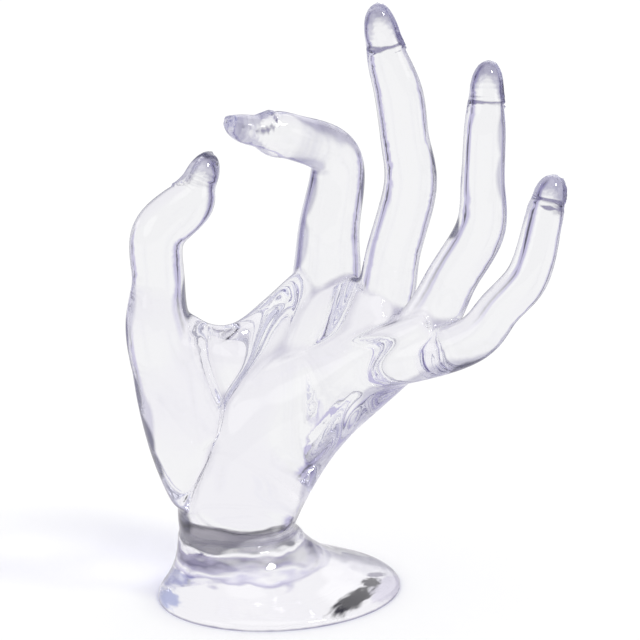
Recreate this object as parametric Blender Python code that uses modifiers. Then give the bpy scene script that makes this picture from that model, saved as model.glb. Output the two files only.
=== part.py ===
"""Clear cast jewelry stand: a slender left hand, palm to the front, that rises from a flared oval foot.

One solid. Each digit is a loft along its bones, from inside the palm to the fingertip, and has a nail on its back.
The palm, the ball of the thumb, the heel, the web and the foot are lofts too. A remesh flows all of them together,
as in a casting. Metres, +Z up. The front of the hand faces -Y, and the origin is the centre of the foot's underside.
"""

import math

import bmesh
import bpy
import numpy as np
from mathutils import Vector

MM = 0.001

# The foot: an oval plate, turned a little, that flares out of a round neck. The neck stands left of its middle.
FOOT_LENGTH = 72.6 * MM
FOOT_WIDTH = 63.6 * MM
FOOT_TURN = 32.0
FOOT_HEIGHT = 19.5 * MM
NECK_RADIUS = 17.3 * MM
NECK_X = -12.2 * MM
NECK_Y = 3.0 * MM
# Height as a share of the foot's, then how far the surface has flared on the left, on the right and to front and
# back, as shares from the neck (0) to the rim (1).
FOOT_PROFILE = (
    (-0.06, 0.95, 0.965, 0.96),
    (0.00, 0.99, 0.99, 0.99),
    (0.05, 1.00, 1.00, 1.00),
    (0.11, 0.90, 0.93, 0.96),
    (0.20, 0.62, 0.73, 0.78),
    (0.32, 0.36, 0.48, 0.53),
    (0.45, 0.18, 0.32, 0.33),
    (0.60, 0.07, 0.18, 0.17),
    (0.74, 0.03, 0.08, 0.08),
    (0.84, 0.01, 0.04, 0.04),
    (0.87, -0.05, -0.03, -0.03),
    (0.98, -0.07, -0.07, -0.07),
    (1.10, -0.07, -0.07, -0.07),
    (1.25, 0.00, 0.00, 0.00),
)

# Bodies of the palm, each a loft through rows of: place from the top of the neck, breadth, depth (millimetres),
# and the way its broad side faces.
PALM = (
    ((0, 0, -7), 32, 31, (0.0, -1.0, 0.0)),
    ((0, 0, 4), 35, 33, (0.0, -1.0, 0.0)),
    ((3.6, -1, 16), 37, 29, (-0.2, -1.0, 0.1)),
    ((11.6, 0, 30), 38.8, 25, (-0.4, -0.85, 0.25)),
    ((22.6, 0, 46), 45, 22, (-0.6, -0.7, 0.35)),
    ((32.6, -2.5, 56), 37, 19, (-0.64, -0.66, 0.39)),
    ((42, -6, 61), 24, 13, (-0.64, -0.66, 0.39)),
)
HEEL = (
    ((2.0, -7.0, 5.6), 30, 27, (0.1, -1.0, 0.0)),
    ((2.8, -7.6, 12), 33, 27.5, (0.1, -1.0, 0.0)),
    ((5, -7.8, 21.5), 35, 27, (0.0, -1.0, 0.1)),
    ((9, -8, 30), 34, 25, (0.0, -1.0, 0.1)),
    ((18, -9, 38), 30, 22, (-0.2, -0.9, 0.3)),
    ((37, -13, 52.5), 14, 16, (-0.3, -0.85, 0.4)),
    ((54, -18.5, 62.5), 9, 12, (-0.3, -0.85, 0.4)),
)
THUMB_BALL = (
    ((-11.6, -2.4, 11), 15.5, 21, (-0.2, -1.0, 0.0)),
    ((-12.9, -4, 16), 16.6, 23, (-0.2, -1.0, 0.0)),
    ((-14.0, -8, 28), 21.4, 27, (-0.2, -1.0, 0.0)),
    ((-16.4, -11.3, 43), 23.0, 24, (-0.1, -1.0, 0.0)),
    ((-18.2, -13, 58), 22.4, 18, (0.0, -1.0, 0.0)),
)
WEB = (
    ((-18, -13, 50), 29, 16, (0.3, -1.0, 0.0)),
    ((-12.5, -11.5, 49.5), 31, 15, (0.3, -1.0, 0.0)),
    ((-7, -9, 47.5), 28, 14, (0.3, -1.0, 0.0)),
    ((0, -4, 45.4), 30, 14, (0.4, -0.9, 0.0)),
    ((9, 2, 49.5), 33, 14, (0.5, -0.9, 0.0)),
    ((17, 7.5, 56), 32, 15, (0.5, -0.9, 0.0)),
    ((23, 11.5, 60), 32, 15, (0.5, -0.9, 0.0)),
)

# Each digit: where its bone starts in the palm and its knuckle, both from the top of the neck; the way its pad faces
# there; the length, lean to the right and reach to the front of each bone beyond the knuckle, the last of them under
# the nail; breadths and depths at the start, the knuckle, each joint and where the tip begins to round off; the
# length of that tip; how slim the long bones are at their middles; and how far the tip lies towards its nail.
DIGITS = {
    "thumb": dict(
        start=(-12, -9, 30),
        knuckle=(-20.9, -14, 61),
        pad=(0.92, -0.25, 0.0),
        bones=((26.8, 0.9, 0.0), (13.0, 46, -14), (14.2, 26, -20)),
        breadths=(24, 20.4, 14.8, 13.6, 11.4),
        depths=(24, 18.4, 14.8, 13.2, 8.8),
        tip=8.5,
        waist=0.88,
        back=0.0,
    ),
    "index": dict(
        start=(6, 1, 16),
        knuckle=(24.4, 13, 62),
        pad=(-0.86, -0.5, 0.1),
        bones=((42.4, 4.9, 0.0), (15.4, -58.5, 30), (7.6, -75, 28), (15.0, -79.5, 27)),
        breadths=(18, 21.2, 15.8, 13.8, 12.6, 10.2),
        depths=(18, 20.2, 14.6, 12.8, 12.6, 8.0),
        tip=10.0,
        waist=1.0,
        back=0.55,
    ),
    "middle": dict(
        start=(12, 3, 22),
        knuckle=(40.0, 2, 60.5),
        pad=(-0.7, -0.7, 0.1),
        bones=((40.2, 12.8, 2.9), (25.0, -8.2, 2.3), (10.6, -18.0, 4.5), (15.2, -15.0, 4.5)),
        breadths=(16, 16.8, 15.0, 13.8, 11.6, 9.8),
        depths=(16, 17.4, 14.6, 13.2, 11.0, 8.8),
        tip=9.5,
    ),
    "ring": dict(
        start=(13, -2, 20),
        knuckle=(52.8, -11, 61),
        pad=(-0.6, -0.8, 0.2),
        bones=((32.6, 27.1, 7.0), (26.9, 1.3, 0.0), (5.5, 0.5, -3.0), (13.2, 0.5, -7.0)),
        breadths=(16, 15.6, 13.8, 11.4, 10.4, 9.0),
        depths=(16, 16.2, 13.4, 11.4, 10.2, 8.4),
        tip=8.5,
    ),
    "little": dict(
        start=(24, -9, 45.2),
        knuckle=(65.2, -23, 60.3),
        pad=(-0.5, -0.8, 0.35),
        bones=((23.4, 38.2, 7.3), (15.9, 15.0, -7.2), (3.0, 13, -9), (9.6, 12, -10)),
        breadths=(12.6, 12.8, 11.6, 10.4, 10.2, 9.0),
        depths=(14.4, 13.8, 11.8, 10.4, 10.0, 8.4),
        tip=7.0,
    ),
}

# Nails.
NAIL_RISE = 0.6 * MM
NAIL_HALF_ANGLE = 72.0
NAIL_EDGE = 1.0 * MM
CUTICLE_LENGTH = 5.0 * MM

# How softly the shapes run into each other, as the width that the edges are rounded over: a little everywhere, and
# more in the palm, from where it has left the neck up to the roots of the fingers.
SKIN_FLOW = 1.7 * MM
PALM_FLOW = 4.9 * MM
PALM_RISE = 14 * MM
PALM_TOP = 69 * MM
PALM_FADE = 12 * MM

# Mesh.
SECTION_POINTS = 32
RING_STEP = 1.4 * MM
VOXEL = 1.0 * MM
TRIANGLES = 10400


def on_bone(start, length, lean, reach):
    """The far end of a bone: lean is degrees to the right of upright, reach is degrees towards the front."""
    lean, reach = math.radians(lean), math.radians(reach)
    across = math.cos(reach)
    return start + length * Vector((math.sin(lean) * across, -math.sin(reach), math.cos(lean) * across))


def smooth_rows(rows, step):
    """Rows of numbers, place first, joined by a centripetal Catmull-Rom curve and resampled every step."""
    rows = np.array(rows, float)
    rows = np.vstack([2 * rows[0] - rows[1], rows, 2 * rows[-1] - rows[-2]])
    knots = np.concatenate([[0], np.cumsum(np.linalg.norm(np.diff(rows[:, :3], axis=0), axis=1) ** 0.5)])
    found = []
    for i in range(1, len(rows) - 2):
        p, t = rows[i - 1 : i + 3], knots[i - 1 : i + 3]
        count = max(1, round(np.linalg.norm(p[2, :3] - p[1, :3]) / step))
        for u in np.linspace(t[1], t[2], count, endpoint=False):
            a = [((t[k + 1] - u) * p[k] + (u - t[k]) * p[k + 1]) / (t[k + 1] - t[k]) for k in range(3)]
            b = [((t[k + 2] - u) * a[k] + (u - t[k]) * a[k + 1]) / (t[k + 2] - t[k]) for k in range(2)]
            found.append(((t[2] - u) * b[0] + (u - t[1]) * b[1]) / (t[2] - t[1]))
    found.append(rows[-2])
    return np.array(found)


def directions(points):
    """The unit direction of a curve at each of its points."""
    return [Vector(v).normalized() for v in np.gradient(points, axis=0)]


def square_to(way, forward):
    return (way - way.dot(forward) * forward).normalized()


def carried_frames(points, pad):
    """For each point: (pad side, sideways). The pad side turns with the curve and never twists round it."""
    forward = directions(points)
    side = square_to(Vector(pad), forward[0])
    found = []
    for i, ahead in enumerate(forward):
        if i:
            side = square_to(forward[i - 1].rotation_difference(ahead) @ side, ahead)
        found.append((side, ahead.cross(side)))
    return found


def oval(centre, across, over, half_across, half_over, count=SECTION_POINTS):
    """One ring of an oval section."""
    turns = (2 * math.pi * k / count for k in range(count))
    return [centre + across * (half_across * math.cos(t)) + over * (half_over * math.sin(t)) for t in turns]


def add_loft(bm, rings):
    """Joins rings of equally many points into one closed shell."""
    loops = [[bm.verts.new(p) for p in ring] for ring in rings]
    count = len(loops[0])
    for low, high in zip(loops, loops[1:]):
        for k in range(count):
            bm.faces.new((low[k], low[(k + 1) % count], high[(k + 1) % count], high[k]))
    bm.faces.new(list(reversed(loops[0])))
    bm.faces.new(loops[-1])


def neck_top():
    return Vector((NECK_X, NECK_Y, FOOT_HEIGHT))


def foot_rings(count=72):
    """Rings from just under the rim up into the neck."""
    half_length, half_width, turned = FOOT_LENGTH / 2, FOOT_WIDTH / 2, math.radians(FOOT_TURN)
    for height, left, right, deep in FOOT_PROFILE:
        ring = []
        for k in range(count):
            turn = 2 * math.pi * k / count
            way = Vector((math.cos(turn), math.sin(turn), 0))
            rim = way / math.hypot(math.cos(turn - turned) / half_length, math.sin(turn - turned) / half_width)
            neck = Vector((NECK_X, NECK_Y, 0)) + way * NECK_RADIUS
            flare = way.x**2 * (right if way.x > 0 else left) + way.y**2 * deep
            ring.append(neck.lerp(rim, flare) + Vector((0, 0, height * FOOT_HEIGHT)))
        yield ring


def body_rings(rows, upright=False, cap_share=0.6):
    """Rings of one body of the palm, rounded off at both ends, and upright or else square to its path."""
    start = neck_top()
    table = smooth_rows([(*(start + Vector(p) * MM), b * MM, d * MM, *pad) for p, b, d, pad in rows], RING_STEP)
    forward = directions(table[:, :3] * (1, 1, 0) if upright else table[:, :3])
    found = []
    for row, ahead in zip(table, forward):
        over = square_to(Vector(row[5:8]), ahead)
        found.append((Vector(row[:3]), ahead.cross(over), over, row[3] / 2, row[4] / 2))
    for index, ahead in ((0, -forward[0]), (-1, forward[-1])):
        centre, across, over, half_across, half_over = found[index]
        cap = []
        for turn in (math.radians(25), math.radians(48), math.radians(66), math.radians(80)):
            size, out = math.cos(turn), math.sin(turn) * min(half_across, half_over) * cap_share
            cap.append((centre + ahead * out, across, over, half_across * size, half_over * size))
        found = cap[::-1] + found if index == 0 else found + cap
    return [oval(*ring) for ring in found]


class Digit:
    """The thumb or a finger, from one entry of DIGITS."""

    def __init__(self, start, knuckle, pad, bones, breadths, depths, tip, waist=0.96, back=0.25):
        joints = [neck_top() + Vector(start) * MM, neck_top() + Vector(knuckle) * MM]
        for length, lean, reach in bones:
            joints.append(on_bone(joints[-1], length * MM, lean, reach))
        self.nail, self.end = bones[-1][0] * MM, joints[-1]
        rows = [(*joint, breadth * MM, depth * MM) for joint, breadth, depth in zip(joints[:-1], breadths, depths)]
        rows.append((*joints[-1].lerp(joints[-2], tip / bones[-1][0]), breadths[-1] * MM, depths[-1] * MM))
        for i in (2, 1):
            if bones[i - 1][0] > 20:
                middle = (np.array(rows[i]) + rows[i + 1]) / 2
                middle[3:] *= waist
                rows.insert(i + 1, tuple(middle))
        self.rows = smooth_rows(rows, RING_STEP)
        self.frames = carried_frames(self.rows[:, :3], pad)
        self.add_tip(back)

    def add_tip(self, flat_back, count=8):
        """Rows that round the fingertip off. The back stays nearly straight, and the pad curves up to meet it."""
        start, breadth, depth = Vector(self.rows[-1, :3]), self.rows[-1, 3], self.rows[-1, 4]
        side = self.frames[-1][0]
        self.frames += [self.frames[-1]] * count
        found = []
        for k in range(1, count + 1):
            turn = math.pi / 2 * k / count
            size = max(math.cos(turn), 0.08)
            centre = start + (self.end - start) * math.sin(turn) - side * (depth / 2 * (1 - size) * flat_back)
            found.append((*centre, breadth * size, depth * size))
        self.rows = np.vstack([self.rows, found])

    def rings(self):
        for row, (side, sideways) in zip(self.rows, self.frames):
            yield oval(Vector(row[:3]), sideways, side, row[3] / 2, row[4] / 2)

    def nail_weights(self, points):
        """1 on the back of the fingertip, inside the outline of the nail, and 0 elsewhere."""
        centres = self.rows[:, :3]
        gaps = np.linalg.norm(np.diff(centres, axis=0), axis=1)
        along = np.concatenate([[0], np.cumsum(gaps)])
        along -= along[-1] - self.nail
        near = np.linalg.norm(points[:, None, :] - centres[None, :, :], axis=2).argmin(axis=1)
        side = np.array([frame[0] for frame in self.frames])[near]
        sideways = np.array([frame[1] for frame in self.frames])[near]
        away = points - centres[near]
        breadth = np.maximum(self.rows[near, 3], NAIL_RISE) / 2
        depth = np.maximum(self.rows[near, 4], NAIL_RISE) / 2
        turn = np.abs(np.arctan2((away * sideways).sum(axis=1) / breadth, -(away * side).sum(axis=1) / depth))
        distance = along[near] + (away * np.cross(side, -sideways)).sum(axis=1)
        opened = 1 - np.clip(distance / CUTICLE_LENGTH, 0, 1)
        half = math.radians(NAIL_HALF_ANGLE) * np.sqrt(1 - opened**2)
        inside = np.minimum((half - turn) * breadth, distance)
        reached = np.linalg.norm(away, axis=1) < 1.5 * np.maximum(breadth, depth) + NAIL_RISE
        return np.clip(inside / NAIL_EDGE, 0, 1) * reached


def solid_mesh(name, shells):
    """A mesh of closed shells, each a list of rings."""
    bm = bmesh.new()
    for rings in shells:
        add_loft(bm, rings)
    bmesh.ops.recalc_face_normals(bm, faces=bm.faces)
    mesh = bpy.data.meshes.new(name)
    bm.to_mesh(mesh)
    bm.free()
    return mesh


def evaluated(obj):
    return bpy.data.meshes.new_from_object(obj.evaluated_get(bpy.context.evaluated_depsgraph_get()))


def passes(flow):
    """How many rounds of smoothing spread over that width."""
    return max(1, round((flow / VOXEL) ** 2))


def add_group(obj, name, weights):
    group = obj.vertex_groups.new(name=name)
    for index in np.nonzero(weights)[0]:
        group.add([int(index)], float(weights[index]), "REPLACE")


def add_cutter(hand, collection, name, mesh, operation):
    """A Boolean modifier of the hand with its helper object."""
    cutter = bpy.data.objects.new(name, mesh)
    collection.objects.link(cutter)
    cutter.hide_render = True
    cutter.display_type = "WIRE"
    boolean = hand.modifiers.new(name, "BOOLEAN")
    boolean.operation = operation
    boolean.solver = "EXACT"
    boolean.object = cutter


def clear_resin():
    material = bpy.data.materials.new("clear_resin")
    material.use_nodes = True
    shader = material.node_tree.nodes["Principled BSDF"]
    shader.inputs["Base Color"].default_value = (0.90, 0.90, 0.94, 1.0)
    shader.inputs["Roughness"].default_value = 0.03
    shader.inputs["IOR"].default_value = 1.5
    shader.inputs["Alpha"].default_value = 0.35
    return material


def build():
    for obj in list(bpy.data.objects):
        bpy.data.objects.remove(obj)
    parts = bpy.data.collections.new("hand_jewelry_stand")
    cutters = bpy.data.collections.new("cutters")
    for collection in (parts, cutters):
        bpy.context.scene.collection.children.link(collection)

    digits = [Digit(**sizes) for sizes in DIGITS.values()]
    shells = [list(foot_rings()), body_rings(PALM), body_rings(WEB, upright=True)]
    shells += [body_rings(rows, cap_share=0.3) for rows in (HEEL, THUMB_BALL)]
    rough = bpy.data.objects.new("rough", solid_mesh("rough", shells + [list(d.rings()) for d in digits]))
    parts.objects.link(rough)
    remesh = rough.modifiers.new("flow_together", "REMESH")
    remesh.mode = "VOXEL"
    remesh.voxel_size = VOXEL
    mesh = evaluated(rough)
    bpy.data.objects.remove(rough)
    mesh.name = "hand_stand"
    hand = bpy.data.objects.new("hand_stand", mesh)
    parts.objects.link(hand)

    points = np.array([vertex.co for vertex in mesh.vertices])
    up = points[:, 2] - neck_top().z
    add_group(hand, "palm", np.clip(np.minimum(up / PALM_RISE, (PALM_TOP - up) / PALM_FADE), 0, 1))
    add_group(hand, "nails", np.max([digit.nail_weights(points) for digit in digits], axis=0))
    for name, flow, group in (("relax_palm", PALM_FLOW, "palm"), ("relax_skin", SKIN_FLOW, "")):
        relax = hand.modifiers.new(name, "SMOOTH")
        relax.factor = 0.5
        relax.iterations = passes(flow)
        relax.vertex_group = group
    raised = hand.modifiers.new("raise_nails", "DISPLACE")
    raised.direction = "NORMAL"
    raised.mid_level = 0.0
    raised.strength = NAIL_RISE
    raised.vertex_group = "nails"
    lighten = hand.modifiers.new("lighten", "DECIMATE")
    lighten.ratio = min(1.0, TRIANGLES / sum(len(polygon.vertices) - 2 for polygon in mesh.polygons))
    reach = FOOT_LENGTH
    box = [[Vector((x, y, z)) for x, y in ((-reach, -reach), (reach, -reach), (reach, reach), (-reach, reach))]
           for z in (-reach, 0.0)]
    add_cutter(hand, cutters, "ground", solid_mesh("ground", [box]), "DIFFERENCE")
    hand.data.materials.append(clear_resin())


if __name__ == "__main__":
    build()
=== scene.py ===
"""Clear cast hand that holds bracelets and rings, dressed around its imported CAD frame."""

import math

import bmesh
import bpy
import numpy as np
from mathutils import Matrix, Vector


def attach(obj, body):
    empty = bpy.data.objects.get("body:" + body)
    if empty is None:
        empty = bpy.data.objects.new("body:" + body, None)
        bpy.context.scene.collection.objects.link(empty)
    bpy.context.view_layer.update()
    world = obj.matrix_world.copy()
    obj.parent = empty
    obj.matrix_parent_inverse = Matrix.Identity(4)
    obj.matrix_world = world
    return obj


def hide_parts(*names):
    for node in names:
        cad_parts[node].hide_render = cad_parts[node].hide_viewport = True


bl_info = {
    "name": "Hand Jewelry Stand",
    "version": (1, 0, 0),
    "blender": (4, 5, 0),
    "location": "3D View > Sidebar > Hand Stand",
    "description": "A clear cast hand on a flared foot, with its studio",
    "category": "Add Mesh",
}

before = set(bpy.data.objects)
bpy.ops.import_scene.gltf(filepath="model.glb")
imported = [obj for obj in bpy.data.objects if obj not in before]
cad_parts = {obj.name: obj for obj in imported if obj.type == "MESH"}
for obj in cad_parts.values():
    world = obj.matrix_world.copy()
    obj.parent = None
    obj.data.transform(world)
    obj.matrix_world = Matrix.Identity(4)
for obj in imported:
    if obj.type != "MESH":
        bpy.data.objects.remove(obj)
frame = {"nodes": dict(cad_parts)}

MM = 0.001
PIECE = "resin_hand"

# Flare of the foot: height as a share of the foot's, then how far the surface has gone from the neck (0) to
# the rim (1) on the left, on the right and to front and back.
FOOT_PROFILE = (
    (-0.06, 0.95, 0.965, 0.96),
    (0.00, 0.99, 0.99, 0.99),
    (0.05, 1.00, 1.00, 1.00),
    (0.11, 0.90, 0.93, 0.96),
    (0.20, 0.62, 0.73, 0.78),
    (0.32, 0.36, 0.48, 0.53),
    (0.45, 0.18, 0.32, 0.33),
    (0.60, 0.07, 0.18, 0.17),
    (0.74, 0.03, 0.08, 0.08),
    (0.84, 0.01, 0.04, 0.04),
    (0.87, -0.05, -0.03, -0.03),
    (0.98, -0.07, -0.07, -0.07),
    (1.10, -0.07, -0.07, -0.07),
    (1.25, 0.00, 0.00, 0.00),
)

# Bodies of the palm: place from the top of the neck, breadth and depth in millimetres, and the way the broad
# side faces.
PALM = (
    ((0, 0, -7), 32, 31, (0.0, -1.0, 0.0)),
    ((0, 0, 4), 35, 33, (0.0, -1.0, 0.0)),
    ((3.6, -1, 16), 37, 29, (-0.2, -1.0, 0.1)),
    ((11.6, 0, 30), 38.8, 25, (-0.4, -0.85, 0.25)),
    ((22.6, 0, 46), 45, 22, (-0.6, -0.7, 0.35)),
    ((32.6, -2.5, 56), 37, 19, (-0.64, -0.66, 0.39)),
    ((42, -6, 61), 24, 13, (-0.64, -0.66, 0.39)),
)
HEEL = (
    ((2.0, -7.0, 5.6), 30, 27, (0.1, -1.0, 0.0)),
    ((2.8, -7.6, 12), 33, 27.5, (0.1, -1.0, 0.0)),
    ((5, -7.8, 21.5), 35, 27, (0.0, -1.0, 0.1)),
    ((9, -8, 30), 34, 25, (0.0, -1.0, 0.1)),
    ((18, -9, 38), 30, 22, (-0.2, -0.9, 0.3)),
    ((37, -13, 52.5), 14, 16, (-0.3, -0.85, 0.4)),
    ((54, -18.5, 62.5), 9, 12, (-0.3, -0.85, 0.4)),
)
THUMB_BALL = (
    ((-11.6, -2.4, 11), 15.5, 21, (-0.2, -1.0, 0.0)),
    ((-12.9, -4, 16), 16.6, 23, (-0.2, -1.0, 0.0)),
    ((-14.0, -8, 28), 21.4, 27, (-0.2, -1.0, 0.0)),
    ((-16.4, -11.3, 43), 23.0, 24, (-0.1, -1.0, 0.0)),
    ((-18.2, -13, 58), 22.4, 18, (0.0, -1.0, 0.0)),
)
WEB = (
    ((-18, -13, 50), 29, 16, (0.3, -1.0, 0.0)),
    ((-12.5, -11.5, 49.5), 31, 15, (0.3, -1.0, 0.0)),
    ((-7, -9, 47.5), 28, 14, (0.3, -1.0, 0.0)),
    ((0, -4, 45.4), 30, 14, (0.4, -0.9, 0.0)),
    ((9, 2, 49.5), 33, 14, (0.5, -0.9, 0.0)),
    ((17, 7.5, 56), 32, 15, (0.5, -0.9, 0.0)),
    ((23, 11.5, 60), 32, 15, (0.5, -0.9, 0.0)),
)

# Each digit, in millimetres and degrees: where its bone starts in the palm and its knuckle, from the top of
# the neck; the way its pad faces; the length, lean to the right and reach to the front of each bone; breadths
# and depths along it; the length of its tip. Some also say how slim the long bones are at their middles, how
# far the tip lies towards its nail, and how strong the painted refraction line round the nail and the painted
# lilac refraction of the tip are.
DIGITS = {
    "thumb": dict(
        start=(-12, -9, 30),
        knuckle=(-20.9, -14, 61),
        pad=(0.92, -0.25, 0.0),
        bones=((26.8, 0.9, 0.0), (13.0, 46, -14), (14.2, 26, -20)),
        breadths=(24, 20.4, 14.8, 13.6, 11.4),
        depths=(24, 18.4, 14.8, 13.2, 8.8),
        tip=8.5,
        waist=0.88,
        back=0.0,
        line=0.45,
        tip_refraction=1.12,
    ),
    "index": dict(
        start=(6, 1, 16),
        knuckle=(24.4, 13, 62),
        pad=(-0.86, -0.5, 0.1),
        bones=((42.4, 4.9, 0.0), (15.4, -58.5, 30), (7.6, -75, 28), (15.0, -79.5, 27)),
        breadths=(18, 21.2, 15.8, 13.8, 12.6, 10.2),
        depths=(18, 20.2, 14.6, 12.8, 12.6, 8.0),
        tip=10.0,
        waist=1.0,
        back=0.55,
        line=0.6,
        tip_refraction=1.15,
    ),
    "middle": dict(
        start=(12, 3, 22),
        knuckle=(40.0, 2, 60.5),
        pad=(-0.7, -0.7, 0.1),
        bones=((40.2, 12.8, 2.9), (25.0, -8.2, 2.3), (10.6, -18.0, 4.5), (15.2, -15.0, 4.5)),
        breadths=(16, 16.8, 15.0, 13.8, 11.6, 9.8),
        depths=(16, 17.4, 14.6, 13.2, 11.0, 8.8),
        tip=9.5,
    ),
    "ring": dict(
        start=(13, -2, 20),
        knuckle=(52.8, -11, 61),
        pad=(-0.6, -0.8, 0.2),
        bones=((32.6, 27.1, 7.0), (26.9, 1.3, 0.0), (5.5, 0.5, -3.0), (13.2, 0.5, -7.0)),
        breadths=(16, 15.6, 13.8, 11.4, 10.4, 9.0),
        depths=(16, 16.2, 13.4, 11.4, 10.2, 8.4),
        tip=8.5,
    ),
    "little": dict(
        start=(24, -9, 45.2),
        knuckle=(65.2, -23, 60.3),
        pad=(-0.5, -0.8, 0.35),
        bones=((23.4, 38.2, 7.3), (15.9, 15.0, -7.2), (3.0, 13, -9), (9.6, 12, -10)),
        breadths=(12.6, 12.8, 11.6, 10.4, 10.2, 9.0),
        depths=(14.4, 13.8, 11.8, 10.4, 10.0, 8.4),
        tip=7.0,
    ),
}

SECTION_POINTS = 40
RING_STEP = 1.2 * MM
# Turns, in degrees, at which a body's end has its rings, and the length in millimetres from which a bone is
# slimmer at its middle.
CAP_TURNS = (25, 48, 66, 80)
LONG_BONE = 20
# Nails: how far the root curves back, how many radii out the skin still belongs to a digit, and what stands
# for a point outside all nails.
CUTICLE_LENGTH = 5.0 * MM
DIGIT_REACH = 1.5
OUTSIDE = -1.0
# Heights above the neck: the palm's shapes flow together fully from PALM_RISE up, and over PALM_FADE below
# PALM_TOP that fades out.
PALM_RISE = 14 * MM
PALM_TOP = 69 * MM
PALM_FADE = 12 * MM

# The floor's radius, and how far under the foot it lies.
FLOOR_RADIUS = 6.0
FLOOR_DROP = 0.3 * MM
# What clear things see: the colour of the floor by the foot, and how far from it the floor's cards set in.
FLOOR_SEEN = (0.97, 0.96, 0.99)
CARDS_REACH = (0.12, 0.24)
# Noise at the edges of the cards: its scale on the floor, at the world's sides and overhead, and how far it
# pushes them at the sides and overhead.
FLOOR_GRAIN = 7.0
SIDE_GRAIN = 4.0
TOP_GRAIN = 3.5
SIDE_RAGGED = 0.2
TOP_RAGGED = 1.6

# Rays that have turned more often than this in the resin go straight on.
TRAPPED_AFTER = 5.5
# How far streaks push the darkening towards the outline and the edges of the tints about, and the value at
# which a tint's mask is fully in use.
SLOPE_RAGGED = 0.30
TINT_RAGGED = 0.9
MASK_FADE = 0.15

# The soft boxes: their brightness, then the direction of each and how many degrees from its middle it begins
# and ends to fade.
SOFT_BOX_GLOW = 1.6
SOFT_BOXES = (
    ((-0.7, -0.6, 0.5), 14, 20),
    ((0.9, -0.3, 0.35), 10, 15),
    ((0.2, 0.9, 0.55), 16, 22),
    ((-0.9, 0.45, 0.2), 8, 12),
    ((0.0, -0.25, 1.0), 18, 26),
)
# The way the lamp shines, and how wide it stands in the sky.
SUN_WAY = (-0.55, 0.3, -0.8)
SUN_SPREAD = math.radians(12)

# Painted caustic shade and painted lilac refraction on the floor, which only show through the foot: place and
# half size in millimetres, turn in degrees and colour. Their edge runs between two shares of that size, made
# ragged by noise.
PATCH_EDGE = (1.15, 0.6)
PATCH_GRAIN = 2.2
PATCH_RAGGED = 1.3
SHADE_AND_LILAC_PATCHES = (
    ((30.5, -2.5), (13.0, 4.0), 65, (0.74, 0.71, 0.82)),
    ((20.5, -13.5), (12.5, 3.2), 59, (0.02, 0.018, 0.03)),
    ((25.6, -1.1), (4.2, 2.6), 50, (0.05, 0.045, 0.065)),
    ((27.2, 5.0), (4.0, 1.6), 35, (0.30, 0.28, 0.36)),
    ((-27.0, 3.0), (9.0, 6.0), 100, (0.40, 0.41, 0.64)),
    ((-30.6, -10.0), (8.0, 2.8), 110, (0.50, 0.53, 0.76)),
)

# Where painted lilac refraction lies along the outline besides the fingertips: place and reach, in
# millimetres.
LILAC_REFRACTIONS = (
    ((11.5, 14, 132), 17),
    ((5, 14, 115), 14),
    ((3.5, 14, 101), 13),
    ((-16.5, -5, 117), 14),
    ((63, -12, 136), 13),
    ((63, -12, 124), 13),
    ((19, -7, 44), 22),
    ((27, -8, 56), 17),
    ((48, -22, 68), 18),
    ((-44, -12, 87), 12),
    ((-41, -12, 57), 13),
)

# Where the outline has painted dark refraction, near-black streaks: place and reach, in millimetres.
DARK_REFRACTIONS = (
    ((-44, -12, 80), 8),
    ((-42, -12, 62), 9),
    ((-39, -12, 50), 10),
    ((-36, -12, 41), 8),
    ((-28, -8, 22), 8),
    ((-24, -12, 89), 9),
    ((-17, -5, 113), 6),
    ((-18, -6, 131), 8.6),
    ((48, -14, 109), 6),
    ((63, -12, 147), 5),
    ((22.5, 5, 93), 6),
    ((45, 3, 126), 8),
    ((25, 16, 116), 9),
    ((63, -20, 100), 6),
    ((52, -24, 71), 9),
    ((22, -6, 39), 7),
)

# Heights in the neck, in millimetres, and the painted refraction and shade at each: dark bands, white lines
# and greys. They wave over NECK_WAVE, by noise of that grain, and lose that much strength for each metre to
# the right.
NECK_WAVE = 8 * MM
NECK_GRAIN = 75.0
NECK_LOSS = -8.0
NECK_REFRACTION_BANDS = (
    (8.4, (1.00, 1.00, 1.00)),
    (9.0, (0.34, 0.32, 0.52)),
    (9.8, (0.66, 0.64, 0.82)),
    (10.6, (1.00, 1.00, 1.00)),
    (11.6, (0.30, 0.28, 0.44)),
    (13.2, (0.05, 0.045, 0.10)),
    (14.8, (0.20, 0.18, 0.32)),
    (15.3, (1.00, 1.00, 1.00)),
    (15.9, (1.00, 1.00, 1.00)),
    (16.6, (0.08, 0.08, 0.10)),
    (20.6, (0.16, 0.15, 0.18)),
    (22.6, (0.03, 0.03, 0.035)),
    (23.6, (0.14, 0.13, 0.16)),
    (24.4, (1.00, 1.00, 1.00)),
)


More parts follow.
